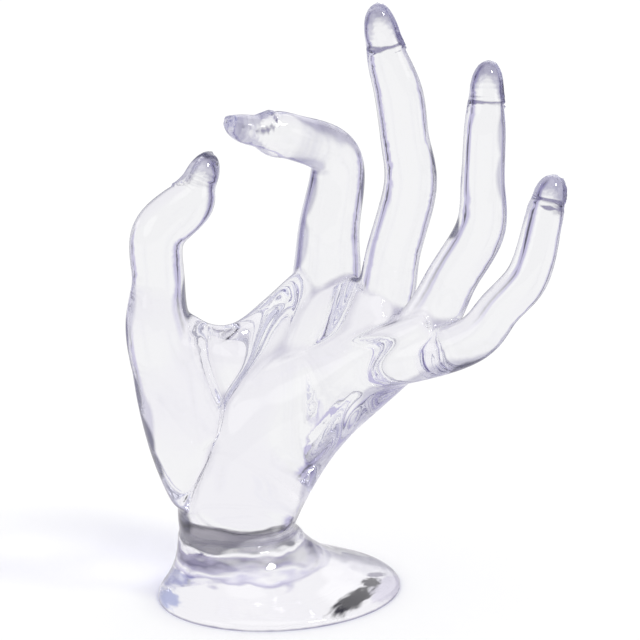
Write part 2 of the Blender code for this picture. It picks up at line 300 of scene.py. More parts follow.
class StandSizes(bpy.types.PropertyGroup):
    """Sizes of the cast hand."""

    foot_length: bpy.props.FloatProperty(
        name="Foot length", description="Longer way across the oval foot", default=72.6 * MM, unit="LENGTH"
    )
    foot_width: bpy.props.FloatProperty(
        name="Foot width", description="Shorter way across the oval foot", default=63.6 * MM, unit="LENGTH"
    )
    foot_turn: bpy.props.FloatProperty(
        name="Foot turn", description="Turn of the oval from left to right", default=math.radians(32.0),
        subtype="ANGLE"
    )
    foot_height: bpy.props.FloatProperty(
        name="Foot height", description="Height at which the foot has become the neck", default=19.5 * MM,
        unit="LENGTH"
    )
    neck_radius: bpy.props.FloatProperty(
        name="Neck radius", description="Radius of the neck between foot and hand", default=17.3 * MM,
        unit="LENGTH"
    )
    neck_place: bpy.props.FloatVectorProperty(
        name="Neck place", description="Middle of the neck from the middle of the foot", size=2,
        default=(-12.2 * MM, 3.0 * MM), unit="LENGTH"
    )
    nail_rise: bpy.props.FloatProperty(
        name="Nail rise", description="How far a nail stands above the skin", default=0.6 * MM, unit="LENGTH"
    )
    nail_edge: bpy.props.FloatProperty(
        name="Nail edge", description="Breadth of the slope round a nail", default=0.7 * MM, unit="LENGTH"
    )
    nail_half_angle: bpy.props.FloatProperty(
        name="Nail half angle", description="How far a nail wraps round each side of the fingertip",
        default=math.radians(72.0), subtype="ANGLE"
    )
    # Reach of the painted lilac refraction down from each fingertip.
    tip_refraction_reach: bpy.props.FloatProperty(
        name="Tip tint", description="How far the lilac reaches down from each fingertip", default=17.0 * MM,
        unit="LENGTH"
    )
    # Height of the painted refraction line round the foot's rim.
    rim_refraction_height: bpy.props.FloatProperty(
        name="Rim tint", description="Height of the lilac line round the foot's rim", default=1.1 * MM,
        unit="LENGTH"
    )
    # Reach of the painted refraction line round each nail.
    cuticle_refraction_fade: bpy.props.FloatProperty(
        name="Cuticle tint", description="How far from a nail's edge its lilac line has faded out",
        default=2.6 * MM, unit="LENGTH"
    )
    # Picks the hollows that are softened, and also scales the painted shade in them.
    crease_reach: bpy.props.FloatProperty(
        name="Crease reach", description="Radius of a hollow that takes the full crease tint",
        default=2.8 * MM, unit="LENGTH"
    )
    crease_flow: bpy.props.FloatProperty(
        name="Crease flow", description="How softly the palm's sharpest creases are filled", default=4.0 * MM,
        unit="LENGTH"
    )
    fineness: bpy.props.FloatProperty(
        name="Fineness", description="Edge length of the mesh that the shapes flow together in",
        default=0.72 * MM, unit="LENGTH"
    )
    palm_flow: bpy.props.FloatProperty(
        name="Palm flow", description="How softly the palm's shapes run into each other", default=4.9 * MM,
        unit="LENGTH"
    )
    skin_flow: bpy.props.FloatProperty(
        name="Skin flow", description="How softly all edges are rounded", default=1.7 * MM, unit="LENGTH"
    )


class ResinLook(bpy.types.PropertyGroup):
    """Colours of the clear resin: its body tint, and painted refraction and shade."""

    body: bpy.props.FloatVectorProperty(
        name="Body", description="Tint seen straight through", subtype="COLOR",
        default=(0.90, 0.90, 0.915), size=3
    )
    # Slope and rim are painted shade: the resin's colour darkens towards its outline, standing in for dark
    # surroundings seen in it.
    slope: bpy.props.FloatVectorProperty(
        name="Slope", description="Tint where the surface turns away", subtype="COLOR",
        default=(0.56, 0.55, 0.62), size=3
    )
    rim: bpy.props.FloatVectorProperty(
        name="Rim", description="Tint at the outline", subtype="COLOR", default=(0.03, 0.03, 0.045), size=3
    )
    # Lilac and deep lilac are painted refraction: the lilac that clear resin shows in its fingertips and
    # along its outline.
    lilac: bpy.props.FloatVectorProperty(
        name="Lilac", description="Tint that gathers in the fingertips and along the outline",
        subtype="COLOR", default=(0.48, 0.47, 0.60), size=3
    )
    deep_lilac: bpy.props.FloatVectorProperty(
        name="Deep lilac", description="Tint of the streaks in that lilac", subtype="COLOR",
        default=(0.28, 0.27, 0.38), size=3
    )
    # Cuticle is painted refraction: the dark lilac line that clear resin shows round each nail, also used
    # round the foot's rim.
    cuticle: bpy.props.FloatVectorProperty(
        name="Cuticle", description="Tint of the line round each nail", subtype="COLOR",
        default=(0.10, 0.09, 0.19), size=3
    )
    # Painted dark refraction: the near-black streaks that clear resin shows at places along its outline.
    accent: bpy.props.FloatVectorProperty(
        name="Accent", description="Tint of the dark accents on the outline", subtype="COLOR",
        default=(0.06, 0.06, 0.10), size=3
    )
    # Painted shade: the grey-lilac darkening in the hollows of the casting.
    crease_shade: bpy.props.FloatVectorProperty(
        name="Crease", description="Tint that gathers in the creases of the casting", subtype="COLOR",
        default=(0.36, 0.34, 0.48), size=3
    )
    ripple: bpy.props.FloatProperty(
        name="Ripple", description="Height of the faint ripples that the mould leaves", default=0.05 * MM,
        unit="LENGTH"
    )
    shadow: bpy.props.FloatVectorProperty(
        name="Shadow", description="What lamps keep of their light through the resin", subtype="COLOR",
        default=(0.74, 0.74, 0.84), size=3
    )
    ior: bpy.props.FloatProperty(name="IOR", description="Refraction of the resin", default=1.5)
    roughness: bpy.props.FloatProperty(
        name="Roughness", description="Haze of the polished surface", default=0.012, subtype="FACTOR"
    )


class StudioLook(bpy.types.PropertyGroup):
    """Floor, light and camera."""

    floor: bpy.props.FloatVectorProperty(
        name="Floor", description="Colour of the floor", subtype="COLOR", default=(0.80, 0.80, 0.80), size=3
    )
    # Painted shadow: the floor's colour darkens where ambient occlusion finds something near.
    contact_shade: bpy.props.FloatVectorProperty(
        name="Contact", description="Colour of the floor right beside what stands on it", subtype="COLOR",
        default=(0.32, 0.32, 0.50), size=3
    )
    contact_shade_reach: bpy.props.FloatProperty(
        name="Contact reach", description="How far that colour reaches", default=8.0 * MM, unit="LENGTH"
    )
    card: bpy.props.FloatVectorProperty(
        name="Card", description="Lilac cards that clear things show at their sides", subtype="COLOR",
        default=(0.60, 0.57, 0.78), size=3
    )
    dark_card: bpy.props.FloatVectorProperty(
        name="Dark card", description="Narrow dark cards that draw the lines in clear things",
        subtype="COLOR", default=(0.08, 0.08, 0.12), size=3
    )
    mirrored: bpy.props.FloatVectorProperty(
        name="Mirrored", description="What polished surfaces mirror between the soft boxes", subtype="COLOR",
        default=(0.55, 0.55, 0.60), size=3
    )
    floor_glow: bpy.props.FloatProperty(
        name="Floor glow", description="What brings the lit floor up to white", default=0.13
    )
    fill: bpy.props.FloatProperty(
        name="Fill", description="Strength of the even light from all round", default=0.8
    )
    sun: bpy.props.FloatProperty(
        name="Sun", description="Strength of the lamp that casts the shadow", default=1.35
    )
    target: bpy.props.FloatVectorProperty(
        name="Target", description="Point that the camera looks at", size=3, unit="LENGTH",
        default=(11.5 * MM, 0.0, 80.3 * MM)
    )
    distance: bpy.props.FloatProperty(
        name="Distance", description="From the camera to its target", default=0.62, unit="LENGTH"
    )
    elevation: bpy.props.FloatProperty(
        name="Elevation", description="Camera above the horizon", default=math.radians(14.0), subtype="ANGLE"
    )
    lens: bpy.props.FloatProperty(name="Lens", description="Focal length in millimetres", default=124.1)


# Shape


def on_bone(start, length, lean, reach):
    """The far end of a bone: lean is degrees to the right of upright, reach is degrees towards the front."""
    lean, reach = math.radians(lean), math.radians(reach)
    across = math.cos(reach)
    return start + length * Vector((math.sin(lean) * across, -math.sin(reach), math.cos(lean) * across))


def smooth_rows(rows, step):
    """Rows of numbers, place first, joined by a centripetal Catmull-Rom curve and resampled every step."""
    rows = np.array(rows, float)
    rows = np.vstack([2 * rows[0] - rows[1], rows, 2 * rows[-1] - rows[-2]])
    knots = np.concatenate([[0], np.cumsum(np.linalg.norm(np.diff(rows[:, :3], axis=0), axis=1) ** 0.5)])
    found = []
    for i in range(1, len(rows) - 2):
        p, t = rows[i - 1 : i + 3], knots[i - 1 : i + 3]
        count = max(1, round(np.linalg.norm(p[2, :3] - p[1, :3]) / step))
        for u in np.linspace(t[1], t[2], count, endpoint=False):
            a = [((t[k + 1] - u) * p[k] + (u - t[k]) * p[k + 1]) / (t[k + 1] - t[k]) for k in range(3)]
            b = [((t[k + 2] - u) * a[k] + (u - t[k]) * a[k + 1]) / (t[k + 2] - t[k]) for k in range(2)]
            found.append(((t[2] - u) * b[0] + (u - t[1]) * b[1]) / (t[2] - t[1]))
    found.append(rows[-2])
    return np.array(found)


def directions(points):
    """The unit direction of a curve at each of its points."""
    return [Vector(v).normalized() for v in np.gradient(points, axis=0)]


def square_to(way, forward):
    """The part of a direction that is square to another."""
    return (way - way.dot(forward) * forward).normalized()


def carried_frames(points, pad):
    """For each point: (pad side, sideways). The pad side turns with the curve and never twists round it."""
    forward = directions(points)
    side = square_to(Vector(pad), forward[0])
    found = []
    for i, ahead in enumerate(forward):
        if i:
            side = square_to(forward[i - 1].rotation_difference(ahead) @ side, ahead)
        found.append((side, ahead.cross(side)))
    return found


def oval(centre, across, over, half_across, half_over, count=SECTION_POINTS):
    """One ring of an oval section."""
    turns = (2 * math.pi * k / count for k in range(count))
    return [centre + across * (half_across * math.cos(t)) + over * (half_over * math.sin(t)) for t in turns]


def add_loft(bm, rings):
    """Joins rings of equally many points into one closed shell."""
    loops = [[bm.verts.new(p) for p in ring] for ring in rings]
    count = len(loops[0])
    for low, high in zip(loops, loops[1:]):
        for k in range(count):
            bm.faces.new((low[k], low[(k + 1) % count], high[(k + 1) % count], high[k]))
    bm.faces.new(list(reversed(loops[0])))
    bm.faces.new(loops[-1])


def neck_top(sizes):
    """The point that the hand is measured from."""
    return Vector((*sizes.neck_place, sizes.foot_height))


def foot_rings(sizes, count=120):
    """Rings from just under the rim up into the neck."""
    half_length, half_width = sizes.foot_length / 2, sizes.foot_width / 2
    for height, left, right, deep in FOOT_PROFILE:
        ring = []
        for k in range(count):
            turn = 2 * math.pi * k / count
            way = Vector((math.cos(turn), math.sin(turn), 0))
            turned = turn - sizes.foot_turn
            rim = way / math.hypot(math.cos(turned) / half_length, math.sin(turned) / half_width)
            neck = Vector((*sizes.neck_place, 0)) + way * sizes.neck_radius
            flare = way.x**2 * (right if way.x > 0 else left) + way.y**2 * deep
            ring.append(neck.lerp(rim, flare) + Vector((0, 0, height * sizes.foot_height)))
        yield ring


def body_rings(rows, start, upright=False, cap_share=0.6):
    """Rings of one body of the palm, rounded off at both ends, and upright or else square to its path."""
    rows = [(*(start + Vector(place) * MM), wide * MM, deep * MM, *pad) for place, wide, deep, pad in rows]
    table = smooth_rows(rows, RING_STEP)
    forward = directions(table[:, :3] * (1, 1, 0) if upright else table[:, :3])
    found = []
    for row, ahead in zip(table, forward):
        over = square_to(Vector(row[5:8]), ahead)
        found.append((Vector(row[:3]), ahead.cross(over), over, row[3] / 2, row[4] / 2))
    for index, ahead in ((0, -forward[0]), (-1, forward[-1])):
        centre, across, over, half_across, half_over = found[index]
        cap = []
        for turn in CAP_TURNS:
            size = math.cos(math.radians(turn))
            out = math.sin(math.radians(turn)) * min(half_across, half_over) * cap_share
            cap.append((centre + ahead * out, across, over, half_across * size, half_over * size))
        found = cap[::-1] + found if index == 0 else found + cap
    return [oval(*ring) for ring in found]


class Digit:
    """The thumb or a finger, from one entry of DIGITS."""

    def __init__(self, origin, start, knuckle, pad, bones, breadths, depths, tip,
                 waist=0.96, back=0.25, line=1.0, tip_refraction=1.0):
        self.line, self.tip_refraction = line, tip_refraction
        joints = [origin + Vector(start) * MM, origin + Vector(knuckle) * MM]
        for length, lean, reach in bones:
            joints.append(on_bone(joints[-1], length * MM, lean, reach))
        self.nail, self.end = bones[-1][0] * MM, joints[-1]
        rows = [(*joint, wide * MM, deep * MM) for joint, wide, deep in zip(joints[:-1], breadths, depths)]
        rows.append((*joints[-1].lerp(joints[-2], tip / bones[-1][0]), breadths[-1] * MM, depths[-1] * MM))
        for i in (2, 1):
            if bones[i - 1][0] > LONG_BONE:
                middle = (np.array(rows[i]) + rows[i + 1]) / 2
                middle[3:] *= waist
                rows.insert(i + 1, tuple(middle))
        self.rows = smooth_rows(rows, RING_STEP)
        self.frames = carried_frames(self.rows[:, :3], pad)
        self.add_tip(back)

    def add_tip(self, flat_back, count=10):
        """Rows that round the fingertip off. The back stays nearly straight, and the pad curves up to it."""
        start, breadth, depth = Vector(self.rows[-1, :3]), self.rows[-1, 3], self.rows[-1, 4]
        side = self.frames[-1][0]
        self.frames += [self.frames[-1]] * count
        found = []
        for k in range(1, count + 1):
            turn = math.pi / 2 * k / count
            size = max(math.cos(turn), 0.08)
            centre = start + (self.end - start) * math.sin(turn) - side * (depth / 2 * (1 - size) * flat_back)
            found.append((*centre, breadth * size, depth * size))
        self.rows = np.vstack([self.rows, found])

    def rings(self):
        """The sections of the digit."""
        for row, (side, sideways) in zip(self.rows, self.frames):
            yield oval(Vector(row[:3]), sideways, side, row[3] / 2, row[4] / 2)

    def inside_nail(self, points, sizes):
        """How far each point lies inside the outline of the nail, in metres, and how near it is to the
        fingertip and to the line round the root of the nail, from 0 to about 1."""
        centres = self.rows[:, :3]
        gaps = np.linalg.norm(np.diff(centres, axis=0), axis=1)
        along = np.concatenate([[0], np.cumsum(gaps)])
        along -= along[-1] - self.nail
        near = np.linalg.norm(points[:, None, :] - centres[None, :, :], axis=2).argmin(axis=1)
        side = np.array([frame[0] for frame in self.frames])[near]
        sideways = np.array([frame[1] for frame in self.frames])[near]
        away = points - centres[near]
        breadth = np.maximum(self.rows[near, 3], sizes.nail_rise) / 2
        depth = np.maximum(self.rows[near, 4], sizes.nail_rise) / 2
        turn = np.abs(np.arctan2((away * sideways).sum(axis=1) / breadth, -(away * side).sum(axis=1) / depth))
        distance = along[near] + (away * np.cross(side, -sideways)).sum(axis=1)
        opened = 1 - np.clip(distance / CUTICLE_LENGTH, 0, 1)
        half = sizes.nail_half_angle * np.sqrt(1 - opened**2)
        inside = np.minimum((half - turn) * breadth, distance)
        # Mask of the painted refraction line round the root of the nail.
        lined = self.line * np.clip(2 - distance / CUTICLE_LENGTH, 0, 1)
        lined *= np.clip(1 - np.abs(inside) / sizes.cuticle_refraction_fade, 0, 1)
        # How strongly each point takes the tip's painted lilac refraction.
        near_tip = self.tip_refraction * np.clip(1 - (self.nail - distance) / sizes.tip_refraction_reach, 0, 1)
        reached = np.linalg.norm(away, axis=1) < DIGIT_REACH * np.maximum(breadth, depth) + sizes.nail_rise
        return np.where(reached, (inside, near_tip, lined), [[OUTSIDE], [0], [0]])


def solid_mesh(name, shells):
    """A mesh of closed shells, each a list of rings."""
    bm = bmesh.new()
    for rings in shells:
        add_loft(bm, rings)
    bmesh.ops.recalc_face_normals(bm, faces=bm.faces)
    mesh = bpy.data.meshes.new(name)
    bm.to_mesh(mesh)
    bm.free()
    return mesh


def applied(obj):
    """A plain mesh of an object with its modifiers applied, in place of the object."""
    mesh = bpy.data.meshes.new_from_object(obj.evaluated_get(bpy.context.evaluated_depsgraph_get()))
    bpy.data.objects.remove(obj)
    return mesh


def linked(name, mesh):
    """An object of that mesh in the scene."""
    obj = bpy.data.objects.new(name, mesh)
    bpy.context.scene.collection.objects.link(obj)
    return obj


def corners(mesh):
    """The places of a mesh's vertices."""
    found = np.empty(len(mesh.vertices) * 3)
    mesh.vertices.foreach_get("co", found)
    return found.reshape(-1, 3)


def add_group(obj, name, weights):
    """A vertex group with one weight for each vertex."""
    group = obj.vertex_groups.new(name=name)
    for index in np.nonzero(weights)[0]:
        group.add([int(index)], float(weights[index]), "REPLACE")


def add_smoothing(obj, name, flow, fineness, group=""):
    """A Smooth modifier with as many rounds as spread over that width in a mesh of that fineness."""
    smooth = obj.modifiers.new(name, "SMOOTH")
    smooth.factor = 0.5
    smooth.iterations = max(1, round((flow / fineness) ** 2))
    smooth.vertex_group = group


def free_palm(mesh, origin):
    """1 in the palm, falling to 0 at the neck and at the roots of the fingers, at each vertex."""
    up = corners(mesh)[:, 2] - origin.z
    return np.clip(np.minimum(up / PALM_RISE, (PALM_TOP - up) / PALM_FADE), 0, 1)


def cast_mesh(sizes):
    """The hand, palm and foot flowed together, with raised nails and a flat underside."""
    origin = neck_top(sizes)
    digits = [Digit(origin, **entry) for entry in DIGITS.values()]
    shells = [list(foot_rings(sizes)), body_rings(PALM, origin)]
    shells += [body_rings(rows, origin, cap_share=0.3) for rows in (HEEL, THUMB_BALL)]
    shells.append(body_rings(WEB, origin, upright=True))
    obj = linked("rough", solid_mesh("rough", shells + [list(digit.rings()) for digit in digits]))
    remesh = obj.modifiers.new("flow_together", "REMESH")
    remesh.mode = "VOXEL"
    remesh.voxel_size = sizes.fineness
    mesh = applied(obj)

    obj = linked(PIECE, mesh)
    add_group(obj, "palm", free_palm(mesh, origin))
    add_smoothing(obj, "palm_flow", sizes.palm_flow, sizes.fineness, "palm")
    add_smoothing(obj, "skin_flow", sizes.skin_flow, sizes.fineness)
    mesh = applied(obj)

    obj = linked(PIECE, mesh)
    inside, near_tip, lined = np.max([digit.inside_nail(corners(mesh), sizes) for digit in digits], axis=0)
    sharp = np.clip(hollows(mesh) * sizes.crease_reach, 0, 1)
    add_group(obj, "creases", sharp * free_palm(mesh, origin))
    add_smoothing(obj, "soften_creases", sizes.crease_flow, sizes.fineness, "creases")
    add_group(obj, "nails", np.clip(inside / sizes.nail_edge, 0, 1))
    raised = obj.modifiers.new("raise_nails", "DISPLACE")
    raised.direction = "NORMAL"
    raised.mid_level = 0.0
    raised.strength = sizes.nail_rise
    raised.vertex_group = "nails"
    mesh = applied(obj)

    # Masks for painted refraction and shade: lilac refraction, dark refraction streaks, the refraction line
    # round the nails, shade in the creases and the refraction line round the foot's rim.
    add_mask(mesh, "lilac", np.maximum(near_tip, nearness(mesh, LILAC_REFRACTIONS)))
    add_mask(mesh, "accent", nearness(mesh, DARK_REFRACTIONS))
    add_mask(mesh, "cuticle", lined)
    add_mask(mesh, "crease_shade", hollows(mesh) * sizes.crease_reach)
    add_mask(mesh, "rim", 1 - corners(mesh)[:, 2] / sizes.rim_refraction_height)
    cut_flat(mesh, sizes.rim_refraction_height)
    return mesh


def add_mask(mesh, name, values):
    """A number from 0 to 1 at each vertex, for the material to read."""
    mask = mesh.attributes.new(name, "FLOAT", "POINT")
    mask.data.foreach_set("value", np.clip(values, 0, 1).astype(np.float32))


def nearness(mesh, places):
    """From 0 to 1, how near each vertex is to the nearest of those places, by its reach."""
    points = corners(mesh)
    return np.max([1 - np.linalg.norm(points - np.array(place) * MM, axis=1) / (reach * MM)
                   for place, reach in places], axis=0)


def hollows(mesh, rounds=6):
    """How sharply the surface curves inwards at each vertex, as one over the radius in metres."""
    points, ends = corners(mesh), np.empty(len(mesh.edges) * 2, np.int32)
    normals = np.empty(len(points) * 3)
    mesh.edges.foreach_get("vertices", ends)
    mesh.vertices.foreach_get("normal", normals)
    ends, normals = ends.reshape(-1, 2), normals.reshape(-1, 3)
    count = np.bincount(ends.ravel(), minlength=len(points))

    def mean_round(values):
        total = np.bincount(ends[:, 0], values[ends[:, 1]], len(points))
        return (total + np.bincount(ends[:, 1], values[ends[:, 0]], len(points))) / count

    offset = np.stack([mean_round(points[:, k]) for k in range(3)], axis=1) - points
    lengths = np.linalg.norm(points[ends[:, 0]] - points[ends[:, 1]], axis=1)
    curved = 4 * (offset * normals).sum(axis=1) / np.mean(lengths) ** 2
    for _ in range(rounds):
        curved = (curved + mean_round(curved)) / 2
    return curved


def cut_flat(mesh, border):
    """Cuts the underside off level, with a crisp edge, and ends the painted refraction line round the rim in
    a border of it.
    """
    bm = bmesh.new()
    bm.from_mesh(mesh)
    cut = bmesh.ops.bisect_plane(
        bm, geom=bm.verts[:] + bm.edges[:] + bm.faces[:], plane_co=(0, 0, 0), plane_no=(0, 0, 1),
        clear_inner=True
    )
    edges = [part for part in cut["geom_cut"] if isinstance(part, bmesh.types.BMEdge)]
    filled = bmesh.ops.contextual_create(bm, geom=edges)["faces"]
    for face in bm.faces:
        face.smooth = True
    for face in filled:
        face.smooth = False
        face.normal_update()
        if face.normal.z > 0:
            face.normal_flip()
    for edge in edges:
        edge.smooth = False
    outside = {vertex for edge in edges for vertex in edge.verts}
    bmesh.ops.inset_region(bm, faces=filled, thickness=border)
    rim = bm.verts.layers.float["rim"]
    for face in filled:
        for vertex in face.verts:
            if vertex not in outside:
                vertex[rim] = 0.0
    bm.to_mesh(mesh)
    bm.free()


# Finishes


def new_node(tree, kind, **settings):
    """A node of that kind with its settings."""
    node = tree.nodes.new(kind)
    for name, value in settings.items():
        setattr(node, name, value)
    return node


def new_material(name):
    """A material with an empty node tree and its output."""
    material = bpy.data.materials.new(name)
    material.use_nodes = True
    material.node_tree.nodes.clear()
    return material, material.node_tree, new_node(material.node_tree, "ShaderNodeOutputMaterial")


def colour_ramp(tree, factor, *stops):
    """A ramp driven by that output: stops are a position and a colour each."""
    ramp = new_node(tree, "ShaderNodeValToRGB")
    elements = ramp.color_ramp.elements
    while len(elements) < len(stops):
        elements.new(1.0)
    for element, (position, colour) in zip(elements, stops):
        element.position, element.color = position, (*colour, 1)
    tree.links.new(factor, ramp.inputs["Fac"])
    return ramp.outputs["Color"]


def blended(tree, factor, low, high, kind="MIX"):
    """Two colours, each a plain colour or an output, mixed by that output."""
    mix = new_node(tree, "ShaderNodeMix", data_type="RGBA", blend_type=kind)
    for socket, value in ((mix.inputs["Factor"], factor), (mix.inputs["A"], low), (mix.inputs["B"], high)):
        if isinstance(value, bpy.types.NodeSocket):
            tree.links.new(value, socket)
        else:
            socket.default_value = value
    return mix.outputs["Result"]


def reckoned(tree, operation, *values):
    """The output of a Math node on numbers or outputs."""
    node = new_node(tree, "ShaderNodeMath", operation=operation)
    for socket, value in zip(node.inputs, values):
        if isinstance(value, bpy.types.NodeSocket):
            tree.links.new(value, socket)
        else:
            socket.default_value = value
    return node.outputs[0]


def mapped(tree, value, low, high, kind="SMOOTHSTEP", to=(0.0, 1.0)):
    """An output rescaled so that low to high becomes 0 to 1, or another range."""
    node = new_node(tree, "ShaderNodeMapRange", interpolation_type=kind)
    for name, number in zip(("From Min", "From Max", "To Min", "To Max"), (low, high, *to)):
        node.inputs[name].default_value = number
    tree.links.new(value, node.inputs["Value"])
    return node.outputs["Result"]


def noise_on(tree, vector, scale):
    """A noise texture of that scale on those coordinates."""
    noise = new_node(tree, "ShaderNodeTexNoise")
    noise.inputs["Scale"].default_value = scale
    tree.links.new(vector, noise.inputs["Vector"])
    return noise


def uneven(tree, value, noise, by):
    """A value pushed up and down by noise from 0 to 1, over that much in all."""
    return reckoned(tree, "MULTIPLY_ADD", reckoned(tree, "SUBTRACT", noise, 0.5), by, value)


def length_of(tree, vector):
    """The length of a vector output."""
    node = new_node(tree, "ShaderNodeVectorMath", operation="LENGTH")
    tree.links.new(vector, node.inputs[0])
    return node.outputs["Value"]


def mixed_shader(tree, share, plain, other):
    """The plain shader, and the other one for that share."""
    mix = new_node(tree, "ShaderNodeMixShader")
    for socket, output in zip(mix.inputs, (share, plain, other)):
        tree.links.new(output, socket)
    return mix.outputs["Shader"]


def streaks_group():
    """A node group for the resin: fine streaks and soft clouds, from 0 to 1, on the object's coordinates."""
    group = bpy.data.node_groups.new("resin_streaks", "ShaderNodeTree")
    for name, default in (("Streak scale", 220.0), ("Cloud scale", 45.0), ("Cloud share", 0.5)):
        socket = group.interface.new_socket(name=name, in_out="INPUT", socket_type="NodeSocketFloat")
        socket.default_value = default
    group.interface.new_socket(name="Mask", in_out="OUTPUT", socket_type="NodeSocketFloat")
    given, output = new_node(group, "NodeGroupInput"), new_node(group, "NodeGroupOutput")
    place = new_node(group, "ShaderNodeTexCoord")
    drawn = new_node(group, "ShaderNodeMapping")
    drawn.inputs["Scale"].default_value = (1.0, 1.0, 0.22)
    group.links.new(place.outputs["Object"], drawn.inputs["Vector"])
    streaks, clouds = new_node(group, "ShaderNodeTexNoise"), new_node(group, "ShaderNodeTexNoise")
    for noise, vector, scale in (
        (streaks, drawn.outputs["Vector"], "Streak scale"),
        (clouds, place.outputs["Object"], "Cloud scale"),
    ):
        noise.inputs["Detail"].default_value = 3.0
        group.links.new(vector, noise.inputs["Vector"])
        group.links.new(given.outputs[scale], noise.inputs["Scale"])
    both = new_node(group, "ShaderNodeMix", data_type="FLOAT")
    group.links.new(given.outputs["Cloud share"], both.inputs["Factor"])
    group.links.new(streaks.outputs["Fac"], both.inputs["A"])
    group.links.new(clouds.outputs["Fac"], both.inputs["B"])
    group.links.new(both.outputs["Result"], output.inputs["Mask"])
    return group


def painted_neck_refraction(tree):
    """Painted refraction and shade in the neck: wavy, broken lines and greys, by height in the piece."""
    place, apart = new_node(tree, "ShaderNodeTexCoord"), new_node(tree, "ShaderNodeSeparateXYZ")
    drawn, broken = new_node(tree, "ShaderNodeMapping"), new_node(tree, "ShaderNodeSeparateColor")
    drawn.inputs["Scale"].default_value = (1, 1, 3)
    for node in (apart, drawn):
        tree.links.new(place.outputs["Object"], node.inputs["Vector"])
    noise = noise_on(tree, drawn.outputs["Vector"], NECK_GRAIN)
    tree.links.new(noise.outputs["Color"], broken.inputs["Color"])
    level = uneven(tree, apart.outputs["Z"], broken.outputs["Red"], NECK_WAVE)
    low, high = NECK_REFRACTION_BANDS[0][0], NECK_REFRACTION_BANDS[-1][0]
    stops = [((height - low) / (high - low), colour) for height, colour in NECK_REFRACTION_BANDS]
    full = colour_ramp(tree, mapped(tree, level, low * MM, high * MM, "LINEAR"), *stops)
    strength = reckoned(tree, "MULTIPLY_ADD", apart.outputs["X"], NECK_LOSS, broken.outputs["Green"])
    kept = colour_ramp(tree, strength, (0.36, (0.45, 0.45, 0.45)), (0.56, (1, 1, 1)))
    return blended(tree, kept, (1, 1, 1, 1), full)


def clear_resin(look):
    """Polished clear resin. Its colour has painted shade towards its outline and in its creases, painted
    lilac refraction in the fingertips and at places listed along the outline, painted refraction lines round
    the nails and the foot's rim, and painted refraction bands in the neck. It lets the lamps' light through
    to the floor."""
    material, tree, output = new_material("clear_resin")
    shader = new_node(tree, "ShaderNodeBsdfPrincipled")
    shader.inputs["IOR"].default_value = look.ior
    shader.inputs["Transmission Weight"].default_value = 1.0

    streaks = new_node(tree, "ShaderNodeGroup", node_tree=streaks_group()).outputs["Mask"]
    facing = new_node(tree, "ShaderNodeLayerWeight")
    facing.inputs["Blend"].default_value = 0.5
    body, slope, rim = (tuple(colour) for colour in (look.body, look.slope, look.rim))
    side = new_node(tree, "ShaderNodeNewGeometry")
    # Painted shade: body, then slope, then rim as the surface turns away, darkest at the outline.
    turned = uneven(tree, facing.outputs["Facing"], streaks, SLOPE_RAGGED)
    colour = colour_ramp(tree, turned, (0.0, body), (0.50, body), (0.74, slope), (0.88, rim))
    # Painted refraction and shade of the neck, multiplied in.
    colour = blended(tree, 1.0, colour, painted_neck_refraction(tree), "MULTIPLY")
    colour = blended(tree, side.outputs["Backfacing"], colour, (*body, 1))

    # Each mask's name, tint and way of mixing, the values between which it sets in, and what a slope adds.
    # They are painted lilac refraction, painted refraction lines round the nails and the foot's rim, painted
    # dark refraction streaks and painted shade in the creases.
    # Painted lilac refraction, streaked deeper by noise.
    refracted_lilac = colour_ramp(tree, streaks, (0.42, tuple(look.deep_lilac)), (0.56, tuple(look.lilac)))
    for name, tint, kind, low, high, sloped in (
        ("lilac", refracted_lilac, "MIX", 0.60, 0.88, 1.0),
        ("cuticle", (*look.cuticle, 1), "MIX", 0.2, 0.6, 0.0),
        ("accent", (*look.accent, 1), "MULTIPLY", 0.75, 1.05, 0.8),
        ("crease_shade", (*look.crease_shade, 1), "MULTIPLY", 0.15, 1.2, 0.0),
        ("rim", (*look.cuticle, 1), "MULTIPLY", 0.2, 0.9, 0.0),
    ):
        mask = new_node(tree, "ShaderNodeAttribute", attribute_name=name).outputs["Fac"]
        ragged = uneven(tree, mask, streaks, TINT_RAGGED)
        ragged = reckoned(tree, "MULTIPLY_ADD", facing.outputs["Facing"], sloped, ragged)
        near = mapped(tree, mask, 0.0, MASK_FADE, "LINEAR")
        kept = reckoned(tree, "MULTIPLY", mapped(tree, ragged, low, high), near)
        colour = blended(tree, kept, colour, tint, kind)
    tree.links.new(colour, shader.inputs["Base Color"])

    haze = mapped(tree, streaks, 0.0, 1.0, "LINEAR", (look.roughness * 0.5, look.roughness * 1.5))
    tree.links.new(haze, shader.inputs["Roughness"])
    ripples = new_node(tree, "ShaderNodeBump")
    ripples.inputs["Distance"].default_value = look.ripple
    tree.links.new(streaks, ripples.inputs["Height"])
    tree.links.new(ripples.outputs["Normal"], shader.inputs["Normal"])

    through = new_node(tree, "ShaderNodeBsdfTransparent")
    through.inputs["Color"].default_value = (*look.shadow, 1)
    path = new_node(tree, "ShaderNodeLightPath")
    trapped = reckoned(tree, "GREATER_THAN", path.outputs["Ray Depth"], TRAPPED_AFTER)
    straight = reckoned(tree, "MAXIMUM", path.outputs["Is Shadow Ray"], trapped)
    mix = mixed_shader(tree, straight, shader.outputs["BSDF"], through.outputs["BSDF"])
    tree.links.new(mix, output.inputs["Surface"])
    return material


def through_clear(tree, plain, seen):
    """One shader for what is seen directly or lit, and another for what shows in or through the resin."""
    path = new_node(tree, "ShaderNodeLightPath")
    either = reckoned(tree, "MAXIMUM", path.outputs["Is Glossy Ray"], path.outputs["Is Transmission Ray"])
    return mixed_shader(tree, either, plain, seen)


